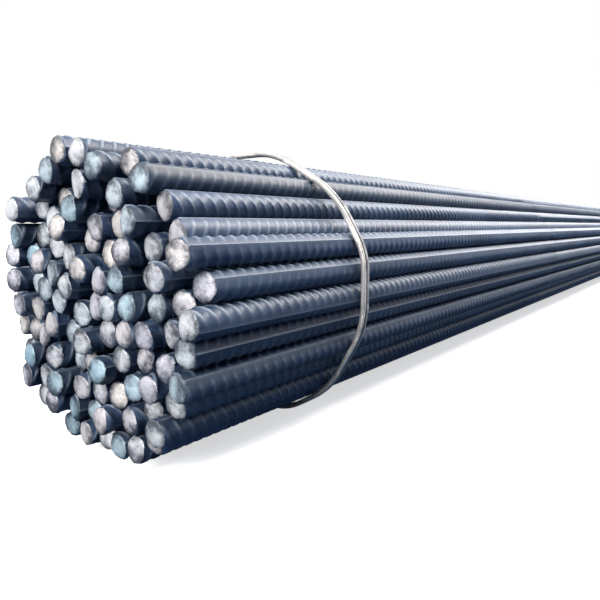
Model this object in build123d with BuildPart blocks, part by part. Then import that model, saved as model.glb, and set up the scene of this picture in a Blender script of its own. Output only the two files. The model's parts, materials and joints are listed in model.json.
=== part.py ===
"""A bundle of straight reinforcing bars, held by three ties of steel wire rod.

The bars lie along Y, and the ends that face -Y are the ones seen most. The origin is on the
floor, under the middle of the bundle.
"""

from build123d import *
import math
import os
import random

# The bars
bar_diameter = 25.0
bar_length = 6000.0
rib_standoff = 0.8  # free space between two bars, which their ribs take up
ring_bars = (1, 7, 13, 20, 26, 33)  # laid in each ring, from the middle of the bundle out
bars_per_row = 8
end_stagger = 22.0  # how far the ends of the bars lie out of line
end_slant = 5.0  # degrees that a shear leaves an end out of square

# The ties
wire_diameter = 5.5
flat_count = 8  # the round wire has few flats, so that its many bends stay light
wire_gap = 0.3  # between a tie and the bars, and between its own turns
tie_count = 3
tie_inset = 215.0  # from the ends of the bundle to its outer ties
tie_sides = 12  # straight stretches in one turn of a tie
crossing_length = 30.0  # over which the wire moves across from its first turn to its second
tail_spread = 2.0  # that the ends of the wire stand out sideways where they leave the turns
tail_step_back = 6.0  # that they leave the turns before they would meet
tail_root = 16.0  # from the turns to the twist
tail_pitch = 26.0  # one full turn of the twist
tail_steps = 6  # bends in one full turn of the twist
tail_bends = 6
tail_tip = 6.0  # straight end of the wire past the twist

# How the bars settle, in bar pitches
ring_share = 1.05  # of a pitch, from one ring to the next
floor_share = 0.95  # of the outer ring's radius, where the floor flattens the bundle
first_shake = 0.22
settle_sink = 0.01
settle_pull = 0.004
settle_rounds = 240
calm_rounds = 60
bundle_seed = 6

bar_pitch = bar_diameter + rib_standoff
bar_radius = bar_diameter / 2
wire_radius = wire_diameter / 2
wire_reach = bar_radius + wire_gap + wire_radius  # from a bar's axis to the wire's
turn_offset = (wire_diameter + wire_gap) / 2  # of each turn from the middle of its tie
hoop_radius = ring_share * (len(ring_bars) - 1)  # of the outer ring, in bar pitches
chance = random.Random(bundle_seed)


def laid_centres():
    """Centres of the bars as first laid: rings round a middle bar, a little shaken."""
    centres = []
    for ring, in_ring in enumerate(ring_bars):
        radius = hoop_radius * ring / (len(ring_bars) - 1)
        start = chance.uniform(0, 2 * math.pi)
        for k in range(in_ring):
            angle = start + 2 * math.pi * k / in_ring
            x = radius * math.cos(angle) + first_shake * chance.uniform(-1, 1)
            z = radius * math.sin(angle) + first_shake * chance.uniform(-1, 1)
            centres.append([x, z])
    return centres


def push_apart(centres):
    """Moves two bars that are nearer than one pitch, half the way each."""
    for i, first in enumerate(centres):
        for second in centres[:i]:
            dx = first[0] - second[0]
            dz = first[1] - second[1]
            distance = math.hypot(dx, dz)
            if distance < 1:
                push = 0.5 * (1 - distance) / max(distance, 1e-9)
                first[0] += dx * push
                first[1] += dz * push
                second[0] -= dx * push
                second[1] -= dz * push


def settled_centres():
    """Lets the bars sink together inside a hoop, on a flat floor, until none overlap."""
    centres = laid_centres()
    floor = -floor_share * hoop_radius
    for turn in range(settle_rounds):
        force = max(0.0, 1 - turn / (0.7 * settle_rounds))
        for centre in centres:
            centre[0] *= 1 - settle_pull * force
            centre[1] *= 1 - settle_pull * force
            centre[1] -= settle_sink * force
        for _ in range(4):
            push_apart(centres)
            for centre in centres:
                inward = min(1.0, hoop_radius / math.hypot(*centre))
                centre[0] *= inward
                centre[1] = max(centre[1] * inward, floor)
    for _ in range(calm_rounds):
        push_apart(centres)
        for centre in centres:
            centre[1] = max(centre[1], floor)
    return [(x * bar_pitch, z * bar_pitch) for x, z in centres]


def side_line(centres, turn):
    """A straight side of a tie: the way it faces, and how far out it clears every bar."""
    facing = (math.cos(turn), math.sin(turn))
    return facing, max(x * facing[0] + z * facing[1] for x, z in centres) + wire_reach


def meeting_point(first, second):
    """Where two sides of a tie would meet, in X and Z."""
    (ax, az), a_out = first
    (bx, bz), b_out = second
    cross = ax * bz - az * bx
    return (a_out * bz - b_out * az) / cross, (ax * b_out - bx * a_out) / cross


def bend_limit(before, corner, after):
    """The largest bend that leaves a little of both straight stretches."""
    run_in = corner - before
    run_out = after - corner
    half_turn = math.radians(run_in.get_angle(run_out)) / 2
    return 0.45 * min(run_in.length, run_out.length) / math.tan(half_turn)


def clear_bend(before, corner, after, centres):
    """The largest bend at a corner of a tie that stays clear of every bar."""
    inward = ((before - corner).normalized() + (after - corner).normalized()).normalized()
    half_turn = math.radians((corner - before).get_angle(after - corner)) / 2
    radius = bend_limit(before, corner, after)
    while radius > wire_reach:
        middle = corner + inward * (radius / math.cos(half_turn))
        reaches = []
        for x, z in centres:
            out = Vector(x, corner.Y, z) - middle
            if out.length > 1 and out.get_angle(inward * -1) < math.degrees(half_turn) + 1:
                reaches.append(out.length + wire_reach)
        if max(reaches, default=0) <= radius:
            break
        radius *= 0.96
    return radius


def tail_points(side_x, middle_z, hand):
    """One end of the wire, from the turn that it leaves to its tip, round the twist's axis."""
    leave_y = hand * (turn_offset + tail_spread)
    leave_z = hand * tail_step_back
    first_angle = math.atan2(leave_z, leave_y)
    twist_radius = turn_offset / math.cos(math.pi / tail_steps)
    points = [Vector(side_x, leave_y, middle_z + leave_z)]
    for k in range(tail_bends + 1):
        angle = first_angle + 2 * math.pi * k / tail_steps
        x = side_x - tail_root - k * tail_pitch / tail_steps
        y = twist_radius * math.cos(angle)
        points.append(Vector(x, y, middle_z + twist_radius * math.sin(angle)))
    points.append(points[-1] - Vector(tail_tip, 0, 0))
    return points


centres = settled_centres()
tie_turns = [math.pi + 2 * math.pi * k / tie_sides for k in range(tie_sides)]
sides = [side_line(centres, turn) for turn in tie_turns]
corners = [meeting_point(sides[k], sides[(k + 1) % tie_sides]) for k in range(tie_sides)]

# Where the bundle lies: its ties on the floor, and the middle of its whole width over the origin
tail_reach = tail_root + tail_bends * tail_pitch / tail_steps + tail_tip
left_out = sides[0][1] + tail_reach
right_out = sides[tie_sides // 2][1] + wire_radius
floor_out = sides[tie_sides // 4][1] + wire_radius
shift_x = (left_out - right_out) / 2
shift_z = floor_out

# How far along the bundle each bar lies, and which way its sheared ends lean
slips = [chance.uniform(-0.5, 0.5) * end_stagger for _ in centres]
near_leans = [(chance.uniform(0, 360), chance.uniform(0.2, 1) * end_slant) for _ in centres]
far_leans = [(chance.uniform(0, 360), chance.uniform(0.2, 1) * end_slant) for _ in centres]


def end_plane(x, y, z, lean):
    """The cut across a bar, leaning out of square."""
    around, slant = lean
    sideways = math.sin(math.radians(slant))
    lean_x = sideways * math.cos(math.radians(around))
    lean_z = sideways * math.sin(math.radians(around))
    return Plane(origin=(x, y, z), x_dir=(0, 0, 1), z_dir=(lean_x, 1, lean_z))


def sheared_bar(k):
    """One straight round bar with its two sheared ends."""
    x = centres[k][0] + shift_x
    z = centres[k][1] + shift_z
    near_y = slips[k] - bar_length / 2
    far_y = slips[k] + bar_length / 2
    spare = bar_diameter
    with BuildPart() as bar:
        with BuildSketch(Plane(origin=(x, near_y - spare, z), x_dir=(1, 0, 0), z_dir=(0, 1, 0))):
            Circle(bar_radius)
        extrude(amount=bar_length + 2 * spare)
        split(bisect_by=end_plane(x, near_y, z, near_leans[k]), keep=Keep.TOP)
        split(bisect_by=end_plane(x, far_y, z, far_leans[k]), keep=Keep.BOTTOM)
    return bar.part


def wire_tie(name, y):
    """One length of wire rod, laid twice round the bundle, with its two ends twisted together."""
    side_x = -sides[0][1]
    middle_z = (corners[0][1] + corners[-1][1]) / 2
    first_tail = tail_points(side_x, middle_z, -1)
    last_tail = tail_points(side_x, middle_z, 1)
    first_turn = [Vector(x, -turn_offset, z) for x, z in corners]
    second_turn = [Vector(x, turn_offset, z) for x, z in corners]
    crossing = [
        Vector(side_x, -turn_offset, middle_z + crossing_length / 2),
        Vector(side_x, turn_offset, middle_z - crossing_length / 2),
    ]
    points = first_tail[::-1] + first_turn + crossing + second_turn + last_tail
    turn_corners = first_turn + second_turn
    radii = []
    for before, corner, after in zip(points, points[1:], points[2:]):
        if corner in turn_corners:
            radii.append(clear_bend(before, corner, after, centres))
        else:
            radii.append(bend_limit(before, corner, after))
    place = Vector(shift_x, y, shift_z)
    with BuildPart() as tie:
        with BuildLine() as route:
            FilletPolyline([point + place for point in points], radius=radii)
        with BuildSketch(Plane(origin=route.line @ 0, z_dir=route.line % 0)):
            RegularPolygon(wire_radius, flat_count)
        sweep(path=route.line)
    tie.part.label = name
    print(name, "bends", round(min(radii), 1), "to", round(max(radii), 1))
    return tie


os.makedirs("parts", exist_ok=True)

by_height = sorted(range(len(centres)), key=lambda k: centres[k][1])
for start in range(0, len(by_height), bars_per_row):
    bars = [sheared_bar(k) for k in by_height[start:start + bars_per_row]]
    with BuildPart() as row:
        add(bars)
    name = f"bar_row_{start // bars_per_row + 1:02d}"
    row.part.label = name
    export_step(row.part, f"parts/{name}.step")

tie_span = bar_length - 2 * tie_inset
for k in range(tie_count):
    name = f"wire_tie_{k + 1}"
    tie = wire_tie(name, tie_span * (k / (tie_count - 1) - 0.5))
    export_step(tie.part, f"parts/{name}.step")
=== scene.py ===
import bpy
import json
import math
import random
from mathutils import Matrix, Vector

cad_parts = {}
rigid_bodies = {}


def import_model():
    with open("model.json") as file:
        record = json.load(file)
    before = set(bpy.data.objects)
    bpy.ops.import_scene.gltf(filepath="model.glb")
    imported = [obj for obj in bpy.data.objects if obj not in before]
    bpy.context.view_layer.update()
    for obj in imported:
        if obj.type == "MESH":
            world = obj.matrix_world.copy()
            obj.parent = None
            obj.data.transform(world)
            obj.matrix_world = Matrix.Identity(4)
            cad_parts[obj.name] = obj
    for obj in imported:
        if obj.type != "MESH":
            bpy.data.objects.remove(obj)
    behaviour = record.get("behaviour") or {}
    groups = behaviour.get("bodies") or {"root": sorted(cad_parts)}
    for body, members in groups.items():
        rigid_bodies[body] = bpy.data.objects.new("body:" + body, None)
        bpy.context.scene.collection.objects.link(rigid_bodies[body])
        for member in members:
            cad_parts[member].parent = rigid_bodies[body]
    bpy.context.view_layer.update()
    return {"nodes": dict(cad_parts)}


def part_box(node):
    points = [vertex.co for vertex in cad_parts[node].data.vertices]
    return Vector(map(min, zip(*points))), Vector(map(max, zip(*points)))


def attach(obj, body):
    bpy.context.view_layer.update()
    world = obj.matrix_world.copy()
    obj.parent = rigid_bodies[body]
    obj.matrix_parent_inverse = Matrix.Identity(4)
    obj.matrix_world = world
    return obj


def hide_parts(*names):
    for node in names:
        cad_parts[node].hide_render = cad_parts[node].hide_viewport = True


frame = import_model()

# The camera stands close to the near end of the bundle and a little above its middle. It looks
# along the bundle's right side, so that the bars run together towards the right.
bundle_radius = 0.148
near_end = -3.0
tie_wrap = 0.0058  # from the outermost bars to the outside of a tie
camera_right = 2.961  # of the bundle's axis, in bundle radii, as the next two are
camera_back = 1.853
camera_up = 0.442
looking = Vector((-0.5976, 0.7906, -0.1334))
sensor_width = 36
picture_width = 600
picture_focal = 260.0  # in pixels, as the width is
enlarged = 2.15  # so that the bundle fills the picture
nearest_seen = 0.01

tie_low, tie_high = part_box("wire_tie_1")
axis_x = tie_high[0] - tie_wrap - bundle_radius
axis_z = (tie_low[2] + tie_high[2]) / 2
bpy.ops.object.camera_add()
camera = bpy.context.object
camera.name = "camera"
camera.location.x = axis_x + camera_right * bundle_radius
camera.location.y = near_end - camera_back * bundle_radius
camera.location.z = axis_z + camera_up * bundle_radius
camera.rotation_mode = "QUATERNION"
camera.rotation_quaternion = looking.to_track_quat("-Z", "Y")
camera.data.lens = sensor_width * picture_focal * enlarged / picture_width
camera.data.clip_start = nearest_seen
bpy.context.scene.camera = camera

# The bars are hot rolled from billets, so each has a round core, two straight ribs along it and
# slanted crescent ribs between them. A short length of the rolled shape is modelled once, and
# an array repeats it to the full length.
core_radius = 0.01185
rib_height = 0.00115
rib_pitch = 0.0125
rib_slant = 0.0115  # how far a crescent rib moves along the bar on its way round one side
rib_fullness = 0.7  # below 1, a crescent rib keeps more of its height towards its ends
straight_rib_height = 0.0008
straight_rib_angle = math.radians(10)  # of half its foot, round the bar
blank_start = -3.045
blank_pitches = 487
fine_sides = 18
fine_rows = (0.0, 0.0016, 0.0034, 0.0050)  # a crescent rib's foot, its crest and its other foot
fine_crest_rows = (1, 2)
coarse_sides = 10
coarse_rows = (0.0, 0.0030)  # foot and crest; its far side runs on to the next rib
coarse_crest_rows = (1,)
coarse_crest = 0.54  # its long flanks would otherwise show twice the wear of the fine crest
pitch_merge_gap = 0.0002


def rolled_length(name, fine, pitches, start):
    """A run of the rolled bar, open at both ends, with its axis along Y."""
    sides = fine_sides if fine else coarse_sides
    rows = (fine_rows if fine else coarse_rows) + (rib_pitch,)
    crest_rows = fine_crest_rows if fine else coarse_crest_rows
    full_crest = 1 if fine else coarse_crest
    half = sides // 2
    spread = (math.pi - 2 * straight_rib_angle) / (half - 2)
    bpy.ops.object.select_all(action="DESELECT")
    across_y = (math.pi / 2, math.pi / 2, 0)
    bpy.ops.mesh.primitive_circle_add(vertices=sides, radius=core_radius, rotation=across_y)
    run = bpy.context.object
    run.name = name
    bpy.ops.object.transform_apply(location=True, rotation=True, scale=True)
    bpy.ops.object.mode_set(mode="EDIT")
    bpy.ops.mesh.select_all(action="SELECT")
    for before, after in zip(rows, rows[1:]):
        bpy.ops.mesh.extrude_edges_move(TRANSFORM_OT_translate={"value": (0, after - before, 0)})
    bpy.ops.object.mode_set(mode="OBJECT")
    crest = run.data.attributes.new("crest", "FLOAT", "POINT")
    for vertex in run.data.vertices:
        turn = math.atan2(vertex.co.z, vertex.co.x)
        side = -1 if turn < 0 else 1
        step = round(abs(turn) / (2 * math.pi / sides))
        row = min(range(len(rows)), key=lambda k: abs(rows[k] - vertex.co.y))
        if not fine:
            angle = step * math.pi / half
        elif step in (0, half):
            angle = math.pi if step else 0
        else:
            angle = straight_rib_angle + (step - 1) * spread
        height = 0
        if step in (0, half):
            height = straight_rib_height
        elif row in crest_rows and not (fine and step in (1, half - 1)):
            height = rib_height * math.sin(angle) ** rib_fullness
        radius = core_radius + height
        vertex.co.x = radius * math.cos(angle)
        vertex.co.z = radius * math.sin(angle) * side
        vertex.co.y += start + rib_slant * (1 - math.cos(angle)) / 2
        crest.data[vertex.index].value = full_crest * height / rib_height
    repeat = run.modifiers.new("pitches", "ARRAY")
    repeat.count = pitches
    repeat.use_relative_offset = False
    repeat.use_constant_offset = True
    repeat.constant_offset_displace = (0, rib_pitch, 0)
    repeat.use_merge_vertices = True
    repeat.merge_threshold = pitch_merge_gap
    bpy.ops.object.modifier_apply(modifier="pitches")
    return run


def pick(*pieces):
    """Selects these pieces and nothing else, with the first of them active."""
    bpy.ops.object.select_all(action="DESELECT")
    for piece in pieces:
        piece.select_set(True)
    bpy.context.view_layer.objects.active = pieces[0]


def select_open_ring(run, low, high):
    """Selects the open edges of a run that lie between two places along it."""
    bpy.ops.object.mode_set(mode="EDIT")
    bpy.ops.mesh.select_mode(type="EDGE")
    bpy.ops.mesh.select_all(action="DESELECT")
    bpy.ops.mesh.select_non_manifold(
        extend=False,
        use_wire=False,
        use_boundary=True,
        use_multi_face=False,
        use_non_contiguous=False,
        use_verts=False,
    )
    bpy.ops.object.mode_set(mode="OBJECT")
    places = [vertex.co.y for vertex in run.data.vertices]
    for edge in run.data.edges:
        if edge.select and not low < places[edge.vertices[0]] < high:
            edge.select = False
    bpy.ops.object.mode_set(mode="EDIT")


def bar_blank(name, fine_pitches, coarse_pitches):
    """A whole bar before it is cut to length, with fine ribs at its near end and coarse ones at
    its far end. Where these don't meet, it is plain between them."""
    fine = rolled_length(name, fine=True, pitches=fine_pitches, start=blank_start)
    fine_end = blank_start + fine_pitches * rib_pitch
    far_start = blank_start + (blank_pitches - coarse_pitches) * rib_pitch
    coarse = rolled_length(name + "_far", fine=False, pitches=coarse_pitches, start=far_start)
    pick(fine, coarse)
    bpy.ops.object.join()
    plain_run = far_start - fine_end - rib_pitch
    if plain_run > rib_pitch:
        select_open_ring(fine, fine_end - rib_pitch / 2, fine_end + rib_pitch / 2 + rib_slant)
        bpy.ops.mesh.extrude_edges_move(TRANSFORM_OT_translate={"value": (0, plain_run, 0)})
        bpy.ops.object.mode_set(mode="OBJECT")
    select_open_ring(fine, far_start - 1.5 * rib_pitch, far_start + rib_pitch / 2 + rib_slant)
    bpy.ops.mesh.bridge_edge_loops()
    bpy.ops.object.mode_set(mode="OBJECT")
    return fine


seen_blank = bar_blank("seen_blank", fine_pitches=88, coarse_pitches=398)
outer_blank = bar_blank("outer_blank", fine_pitches=70, coarse_pitches=416)
inner_blank = bar_blank("inner_blank", fine_pitches=8, coarse_pitches=6)

# The rolled skin of the bars is blue-black mill scale. It is mottled along the bar and differs a
# little from bar to bar. The crests of the ribs are rubbed lighter, and this is painted on in full
# where they face up and hardly where they face down, as painted light from above and shade below.
deep_scale = (0.005, 0.016, 0.044, 1)
pale_scale = (0.036, 0.060, 0.104, 1)
rubbed_scale = (0.27, 0.31, 0.35, 1)
drawn_out = (1, 0.12, 1)  # the mottling is long along the bar
bar_shades = (0.7, 1.35)  # of the darkest bar and the palest
facing_down_and_up = (-0.1, 0.6)  # the part of the normal that points up
wear_and_painted_light_down_and_up = (0.05, 1.0)  # how far the crests are painted lighter there, by rubbed wear and painted light from above
scale_gloss = (0.42, 0.58)  # roughness of its smoothest and its dullest patches
mill_scale = bpy.data.materials.new("mill_scale")
mill_scale.use_nodes = True


def feed(socket, value):
    """Links a socket to another node's output, or sets it to a plain number or colour."""
    if isinstance(value, bpy.types.NodeSocket):
        socket.id_data.links.new(value, socket)
    else:
        socket.default_value = value


def mark(tree, name):
    """Reads a mark that the mesh carries, such as how high on a rib a point lies."""
    reader = tree.nodes.new("ShaderNodeAttribute")
    reader.attribute_name = name
    return reader.outputs["Fac"]


def grain(tree, place, scale, detail, roughness=0.5):
    """An uneven pattern on the steel, from 0 to 1."""
    noise = tree.nodes.new("ShaderNodeTexNoise")
    feed(noise.inputs["Vector"], place)
    feed(noise.inputs["Scale"], scale)
    feed(noise.inputs["Detail"], detail)
    feed(noise.inputs["Roughness"], roughness)
    return noise.outputs["Fac"]


def carried(tree, value, to_range, from_range=(0, 1)):
    """A value carried over from one range to another, and held within it."""
    carry = tree.nodes.new("ShaderNodeMapRange")
    feed(carry.inputs["Value"], value)
    for bound, number in zip(("From Min", "From Max", "To Min", "To Max"), from_range + to_range):
        feed(carry.inputs[bound], number)
    return carry.outputs["Result"]


def shades(tree, value, *stops):
    """A colour for each value, blended between stops that each give a value and its colour."""
    ramp = tree.nodes.new("ShaderNodeValToRGB")
    elements = ramp.color_ramp.elements
    for element, (at, colour) in zip((elements[0], elements[1]), (stops[0], stops[-1])):
        element.position = at
        element.color = colour
    for at, colour in stops[1:-1]:
        elements.new(at).color = colour
    feed(ramp.inputs["Fac"], value)
    return ramp.outputs["Color"]


def worked_out(tree, operation, first, second):
    """The sum, the product or the larger of two values."""
    sums = tree.nodes.new("ShaderNodeMath")
    sums.operation = operation
    feed(sums.inputs[0], first)
    feed(sums.inputs[1], second)
    return sums.outputs["Value"]


def coated(tree, share, under, over, blend="MIX"):
    """One colour laid over another, or multiplied with it, by a share."""
    coat = tree.nodes.new("ShaderNodeMix")
    coat.data_type = "RGBA"
    coat.blend_type = blend
    feed(coat.inputs["Factor"], share)
    feed(coat.inputs["A"], under)
    feed(coat.inputs["B"], over)
    return coat.outputs["Result"]


def pitted(tree, height, strength, depth):
    """Shallow pits and marks in the surface, too small to model."""
    bump = tree.nodes.new("ShaderNodeBump")
    feed(bump.inputs["Strength"], strength)
    feed(bump.inputs["Distance"], depth)
    feed(bump.inputs["Height"], height)
    return bump.outputs["Normal"]


tree = mill_scale.node_tree
place = tree.nodes.new("ShaderNodeTexCoord").outputs["Object"]
stretch = tree.nodes.new("ShaderNodeMapping")
feed(stretch.inputs["Scale"], drawn_out)
feed(stretch.inputs["Vector"], place)
mottle = grain(tree, stretch.outputs["Vector"], scale=55, detail=6, roughness=0.62)
scale_colour = shades(tree, mottle, (0.34, deep_scale), (0.68, pale_scale))
tinted = tree.nodes.new("ShaderNodeVectorMath")
tinted.operation = "SCALE"
feed(tinted.inputs[0], scale_colour)
feed(tinted.inputs["Scale"], carried(tree, mark(tree, "bar_tint"), bar_shades))
patches = grain(tree, place, scale=240, detail=3)
facing = tree.nodes.new("ShaderNodeSeparateXYZ")
feed(facing.inputs["Vector"], tree.nodes.new("ShaderNodeNewGeometry").outputs["Normal"])
# Painted light: the rubbed crests are lighter where they face up and stay dark where they face
# down.
painted_top_light = carried(tree, facing.outputs["Z"], wear_and_painted_light_down_and_up, facing_down_and_up)
rubbed = worked_out(tree, "MULTIPLY", mark(tree, "crest"), patches)
rubbed_and_painted_lit = worked_out(tree, "MULTIPLY", rubbed, painted_top_light)
worn_and_painted_lit = coated(tree, rubbed_and_painted_lit, tinted.outputs["Vector"], rubbed_scale)
skin = tree.nodes["Principled BSDF"]
feed(skin.inputs["Specular IOR Level"], 0.45)
feed(skin.inputs["Base Color"], worn_and_painted_lit)
feed(skin.inputs["Roughness"], carried(tree, patches, scale_gloss))
feed(skin.inputs["Normal"], pitted(tree, patches, strength=0.25, depth=0.0004))

# The sheared ends of the bars are bare steel. The blade leaves one side of the face smooth and
# the other torn and duller, and each bar has a cold or a warm cast of its own.
torn_dark = (0.055, 0.06, 0.07, 1)
bare_bright = (0.55, 0.55, 0.54, 1)
cold_cast = (0.47, 0.67, 0.78, 1)
no_cast = (1, 1, 1, 1)
mauve_cast = (0.84, 0.80, 0.87, 1)
warm_cast = (1.0, 0.91, 0.84, 1)
bar_tones = (-0.13, 0.15)  # how much darker or brighter a whole end is
rim_shade_tones = (0.12, -0.17)  # how much brighter or darker, as painted shade, from the middle of an end to its rim
rim_reach = (0.45, 1.0)  # and where that begins and ends, in core radii
blade_tones = (-0.09, 0.09)  # the same, from the torn side to the smooth one
blade_reach = (-0.25, 0.25)
sheared_steel = bpy.data.materials.new("sheared_steel")
sheared_steel.use_nodes = True
tree = sheared_steel.node_tree
place = tree.nodes.new("ShaderNodeTexCoord").outputs["Object"]
torn = grain(tree, place, scale=130, detail=5, roughness=0.70)
bar_tint = mark(tree, "bar_tint")
own_tone = tree.nodes.new("ShaderNodeTexWhiteNoise")
own_tone.noise_dimensions = "1D"
feed(own_tone.inputs["W"], bar_tint)
tone = carried(tree, own_tone.outputs["Value"], bar_tones)
# Painted shade: each end is brighter in its middle and darker towards its rounded rim.
painted_rim_shade = carried(tree, mark(tree, "rim"), rim_shade_tones, rim_reach)
burnished = carried(tree, mark(tree, "blade"), blade_tones, blade_reach)
rim_shade_and_tone = worked_out(tree, "ADD", painted_rim_shade, tone)
zone_and_tone = worked_out(tree, "ADD", rim_shade_and_tone, burnished)
end_tone = worked_out(tree, "ADD", zone_and_tone, torn)
steel_colour = shades(tree, end_tone, (0.29, torn_dark), (0.69, bare_bright))
cast = shades(
    tree, bar_tint, (0.0, cold_cast), (0.3, no_cast), (0.6, mauve_cast), (1.0, warm_cast)
)
bare = tree.nodes["Principled BSDF"]
feed(bare.inputs["Metallic"], 0.3)
feed(bare.inputs["Roughness"], 0.45)
feed(bare.inputs["Base Color"], coated(tree, 1, steel_colour, cast, "MULTIPLY"))
feed(bare.inputs["Normal"], pitted(tree, torn, strength=0.8, depth=0.0015))

# Each bar is cut from a blank at its own place and turn, and a shear leaves both its ends slightly
# rounded and out of square. The bars lie loose on each other, and only the ties hold them.
bar_seed = 25
outer_depth = 0.030  # below the outside of the bundle, in which the sides of the bars can show
seen_from = -62  # degrees round the bundle from +X, between which the camera sees its side
seen_to = 84
cut_edge = 0.0009  # height of the rounded edge of an end
end_steps = ((0.45, 0.965), (0.35, 0.92), (0.15, 0.80), (0.05, 0.45))  # share of it, and size
least_squeeze = 0.90
most_squeeze = 1.01
end_zone = 0.002  # length of bar that the blade shapes
roll_depth = 0.0026  # that the blade drags the edge down, at one core radius
roll_start = 0.1
loose_gap = 0.00001  # within which points of a CAD node are one
cut_gap = 0.000001  # within which a point lies on a cut
bar_crease = math.radians(35)
chance = random.Random(bar_seed)


def own_copy(piece):
    """A picked copy of a piece, with a mesh of its own."""
    copy = piece.copy()
    copy.data = copy.data.copy()
    bpy.context.scene.collection.objects.link(copy)
    pick(copy)
    return copy


def merged_copy(node):
    """A copy of a CAD node in edit mode, with its loose triangles merged and selected."""
    copy = own_copy(frame["nodes"][node])
    bpy.ops.object.mode_set(mode="EDIT")
    bpy.ops.mesh.select_all(action="SELECT")
    bpy.ops.mesh.remove_doubles(threshold=loose_gap)
    return copy


def bars_of(node):
    """The near and the far end of each bar of a CAD node: its middle, and square to its cut."""
    merged_copy(node)
    bpy.ops.mesh.separate(type="LOOSE")
    bpy.ops.object.mode_set(mode="OBJECT")
    found = []
    for single in bpy.context.selected_objects:
        points = [vertex.co.copy() for vertex in single.data.vertices]
        ends = []
        for sign in (-1, 1):
            ring = [point for point in points if point.y * sign > 0]
            middle = sum(ring, Vector()) / len(ring)
            spread = sum((point.x - middle.x) ** 2 for point in ring)
            lean_x = sum((point.x - middle.x) * (point.y - middle.y) for point in ring) / spread
            lean_z = sum((point.z - middle.z) * (point.y - middle.y) for point in ring) / spread
            ends.append((middle, Vector((-lean_x, 1, -lean_z)).normalized()))
        found.append(ends)
    bpy.ops.object.delete()
    return sorted(found, key=lambda ends: (ends[0][0].x, ends[0][0].z))


def blank_for(near):
    """The blank for a bar at this place: the less of its side can show, the plainer it is."""
    out_x = near.x - axis_x
    out_z = near.z - axis_z
    if math.hypot(out_x, out_z) <= bundle_radius - outer_depth:
        return inner_blank
    around = math.degrees(math.atan2(out_z, out_x))
    return seen_blank if seen_from < around < seen_to else outer_blank


def cut_end(point, outward):
    """Shears a bar off square to outward. The blade squeezes the end and rounds its edge."""
    bpy.ops.mesh.select_mode(type="EDGE")
    bpy.ops.mesh.select_all(action="SELECT")
    cut_at = point - outward * cut_edge
    bpy.ops.mesh.bisect(plane_co=cut_at, plane_no=outward, clear_outer=True, threshold=cut_gap)
    squeeze_x = chance.uniform(least_squeeze, most_squeeze)
    squeeze_z = chance.uniform(least_squeeze, most_squeeze)
    bpy.ops.transform.resize(value=(squeeze_x, 1, squeeze_z), center_override=point)
    bpy.ops.mesh.edge_face_add()
    bpy.ops.mesh.select_mode(type="FACE")
    for depth, share in end_steps:
        move = outward * (cut_edge * depth)
        bpy.ops.mesh.extrude_region_move(TRANSFORM_OT_translate={"value": move})
        bpy.ops.transform.resize(value=(share, 1, share), center_override=point)
    for _ in end_steps:
        bpy.ops.mesh.select_more()
    bpy.ops.object.material_slot_assign()


def mark_bar(bar, near, far):
    """Gives a bar its tint, and its ends the marks and the dragged edge that the blade leaves."""
    tint = bar.data.attributes.new("bar_tint", "FLOAT", "POINT")
    tint.data.foreach_set("value", [chance.random()] * len(bar.data.vertices))
    bar.data.attributes.new("rim", "FLOAT", "POINT")
    bar.data.attributes.new("blade", "FLOAT", "POINT")
    rim = bar.data.attributes["rim"].data
    blade = bar.data.attributes["blade"].data
    blade_turn = chance.uniform(0, 2 * math.pi)
    for vertex in bar.data.vertices:
        if near.y + end_zone < vertex.co.y < far.y - end_zone:
            continue
        off_x = (vertex.co.x - near.x) / core_radius
        off_z = (vertex.co.z - near.z) / core_radius
        across = off_x * math.cos(blade_turn) + off_z * math.sin(blade_turn)
        rim[vertex.index].value = math.hypot(off_x, off_z)
        blade[vertex.index].value = across
        roll_over = roll_depth * max(0, across - roll_start) ** 2
        vertex.co.y += roll_over if vertex.co.y < 0 else -roll_over


for row_name in sorted(name for name in frame["nodes"] if name.startswith("bar_row")):
    row_bars = []
    for (near, near_lean), (far, far_lean) in bars_of(row_name):
        bar = own_copy(blank_for(near))
        bar.rotation_euler.y = chance.uniform(0, 2 * math.pi)
        bar.location = (near.x, -chance.uniform(0, 1) * rib_pitch, near.z)
        bpy.ops.object.transform_apply(location=True, rotation=True, scale=True)
        bar.data.materials.append(mill_scale)
        bar.data.materials.append(sheared_steel)
        bar.active_material_index = 1
        bpy.ops.object.mode_set(mode="EDIT")
        cut_end(near, -near_lean)
        cut_end(far, far_lean)
        bpy.ops.object.mode_set(mode="OBJECT")
        mark_bar(bar, near, far)
        row_bars.append(bar)
    pick(*row_bars)
    bpy.ops.object.join()
    ribbed = bpy.context.object
    ribbed.name = row_name.replace("bar_row", "ribbed_bars")
    bpy.ops.object.mode_set(mode="EDIT")
    bpy.ops.mesh.select_all(action="SELECT")
    bpy.ops.mesh.normals_make_consistent(inside=False)
    bpy.ops.object.mode_set(mode="OBJECT")
    bpy.ops.object.shade_smooth_by_angle(angle=bar_crease)
    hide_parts(row_name)
    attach(ribbed, "root")
for blank in (seen_blank, outer_blank, inner_blank):
    bpy.data.objects.remove(blank)

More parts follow.
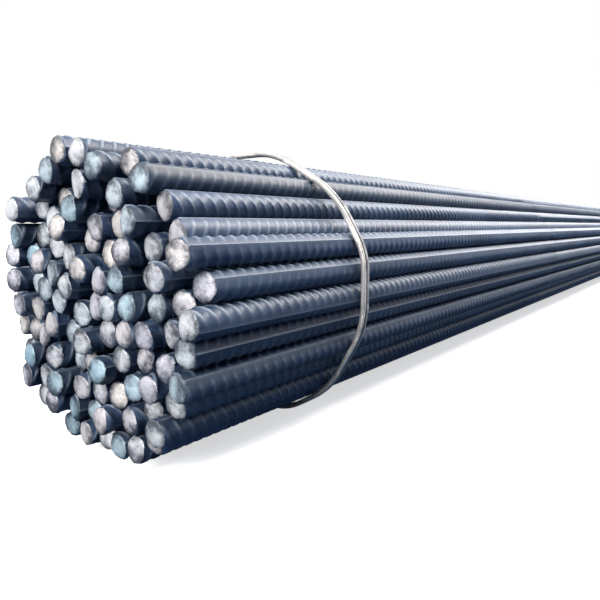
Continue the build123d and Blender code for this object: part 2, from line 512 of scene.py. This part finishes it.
# The ties are pale drawn wire rod, laid twice round the bundle and twisted at one side. The
# wire keeps its own section, with its flats shaded round. Painted shade darkens it in the crease
# between its turns, and its second turn is painted a shaded grey-blue.
wire_diameter = 0.0055
wire_crease = math.radians(60)
tie_width = (-1, 1)  # of its two turns, in wire diameters from the middle of the tie
dull_wire = (0.36, 0.34, 0.32, 1)
bright_wire = (0.50, 0.465, 0.43, 1)
unshaded = (1, 1, 1, 1)
painted_crease_shade = (0.16, 0.17, 0.20, 1)
shaded = (0.62, 0.66, 0.72, 1)
tie_wire = bpy.data.materials.new("tie_wire")
tie_wire.use_nodes = True
tree = tie_wire.node_tree
place = tree.nodes.new("ShaderNodeTexCoord").outputs["Object"]
drawing = grain(tree, place, scale=420, detail=4)
wire_colour = shades(tree, drawing, (0.3, dull_wire), (0.6, bright_wire))
across_tie = carried(tree, mark(tree, "turn_of_wire"), (0, 1), tie_width)
# Painted shade: dark in the crease between the two turns, and a shaded grey-blue on the second
# turn.
painted_wire_shade = shades(tree, across_tie, (0.25, unshaded), (0.5, painted_crease_shade), (0.72, shaded))
drawn = tree.nodes["Principled BSDF"]
feed(drawn.inputs["Metallic"], 0.3)
feed(drawn.inputs["Roughness"], 0.5)
feed(drawn.inputs["Base Color"], coated(tree, 1, wire_colour, painted_wire_shade, "MULTIPLY"))
for tie_name in ("wire_tie_1", "wire_tie_2", "wire_tie_3"):
    tie = merged_copy(tie_name)
    bpy.ops.mesh.tris_convert_to_quads()
    bpy.ops.object.mode_set(mode="OBJECT")
    bpy.ops.object.shade_smooth_by_angle(angle=wire_crease)
    tie.name = tie_name.replace("wire_tie", "twisted_wire")
    tie.data.materials.clear()
    tie.data.materials.append(tie_wire)
    low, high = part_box(tie_name)
    tie_middle = (low[1] + high[1]) / 2
    turn_of_wire = tie.data.attributes.new("turn_of_wire", "FLOAT", "POINT")
    for vertex in tie.data.vertices:
        turn_of_wire.data[vertex.index].value = (vertex.co.y - tie_middle) / wire_diameter
    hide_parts(tie_name)
    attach(tie, "root")

# A plain pale floor, white to the camera except for the bundle's own soft shadow. The bundle is
# lit by it as by shaded ground. It is made whiter with distance, so that it has no edge.
floor_size = 60
near_and_far = (3, 9)  # in metres from the middle of the bundle
white_near_and_far = (0.62, 1)
shown_paint = (0.8, 0.8, 0.8, 1)
shaded_ground = (0.030, 0.060, 0.11, 1)
bpy.ops.object.select_all(action="DESELECT")
bpy.ops.mesh.primitive_plane_add(size=floor_size, location=(0, 0, 0))
floor = bpy.context.object
floor.name = "floor"
floor_paint = bpy.data.materials.new("floor_paint")
floor_paint.use_nodes = True
tree = floor_paint.node_tree
seen = tree.nodes.new("ShaderNodeLightPath").outputs["Is Camera Ray"]
away = tree.nodes.new("ShaderNodeVectorMath")
away.operation = "LENGTH"
feed(away.inputs[0], tree.nodes.new("ShaderNodeTexCoord").outputs["Object"])
lift = carried(tree, away.outputs["Value"], white_near_and_far, near_and_far)
matt = tree.nodes["Principled BSDF"]
feed(matt.inputs["Roughness"], 0.9)
feed(matt.inputs["Specular IOR Level"], 0.1)
feed(matt.inputs["Base Color"], coated(tree, seen, shaded_ground, shown_paint))
feed(matt.inputs["Emission Color"], (1, 1, 1, 1))
feed(matt.inputs["Emission Strength"], worked_out(tree, "MULTIPLY", seen, lift))
floor.data.materials.append(floor_paint)

# Studio light: a long soft box over the bundle, a weaker one towards the cut ends, a faint one at
# the right, and a blue room that is white to the camera and in reflections.
room_shade = (0.10, 0.17, 0.30, 1)
room_white = (1, 1, 1, 1)
over_colour = (1.0, 0.95, 0.895)


def soft_box(place, width, length, watts, turn_x=0, turn_y=0):
    """A flat lamp, turned by degrees about X or Y from facing down."""
    bpy.ops.object.light_add(type="AREA", location=place)
    box = bpy.context.object
    box.data.shape = "RECTANGLE"
    box.data.size = width
    box.data.size_y = length
    box.data.energy = watts
    box.rotation_euler = (math.radians(turn_x), math.radians(turn_y), 0)
    return box


over = soft_box((axis_x + 0.95, 1.0, 3.0), width=2.2, length=8.0, watts=655, turn_y=17)
over.data.color = over_colour
soft_box((axis_x, -5.6, 1.5), width=2.4, length=1.6, watts=190, turn_x=66)
soft_box((axis_x + 1.9, 0.5, 2.5), width=1.6, length=8.0, watts=15, turn_y=39)
room = bpy.data.worlds.new("room")
room.use_nodes = True
bpy.context.scene.world = room
tree = room.node_tree
ray = tree.nodes.new("ShaderNodeLightPath").outputs
through = worked_out(tree, "MAXIMUM", ray["Is Camera Ray"], ray["Is Transmission Ray"])
shown = worked_out(tree, "MAXIMUM", through, ray["Is Glossy Ray"])
feed(tree.nodes["Background"].inputs["Color"], coated(tree, shown, room_shade, room_white))
bpy.context.scene.view_settings.view_transform = "Standard"
